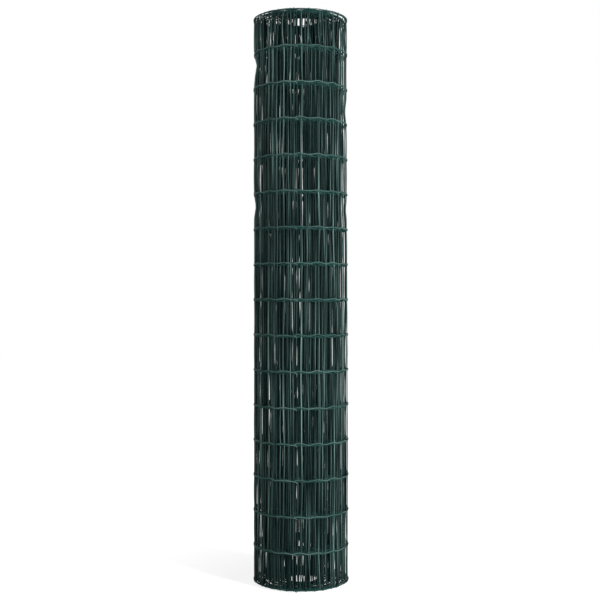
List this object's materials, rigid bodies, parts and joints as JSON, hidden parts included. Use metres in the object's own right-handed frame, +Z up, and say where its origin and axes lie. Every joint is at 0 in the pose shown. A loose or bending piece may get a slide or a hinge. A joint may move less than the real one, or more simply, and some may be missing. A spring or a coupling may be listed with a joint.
{
  "type": "roll of welded wire fencing",
  "caption": "Upright roll of green coated welded wire mesh, wound round an open core, its crimped line wires running round the outside.",
  "frame": {"origin": "on the axis of the roll, at the level that it stands on", "axes": "+Z up along the axis of the roll; the free end of the mesh lies just left of the front, which faces -Y"},
  "size_m": [0.2758, 0.276, 1.611],
  "materials": {
    "coated_wire": "dark green plastic coating on steel wire, satin, slightly dusty"
  },
  "bodies": {
    "root": {"mesh_roll": "coated_wire"}
  },
  "joints": []
}
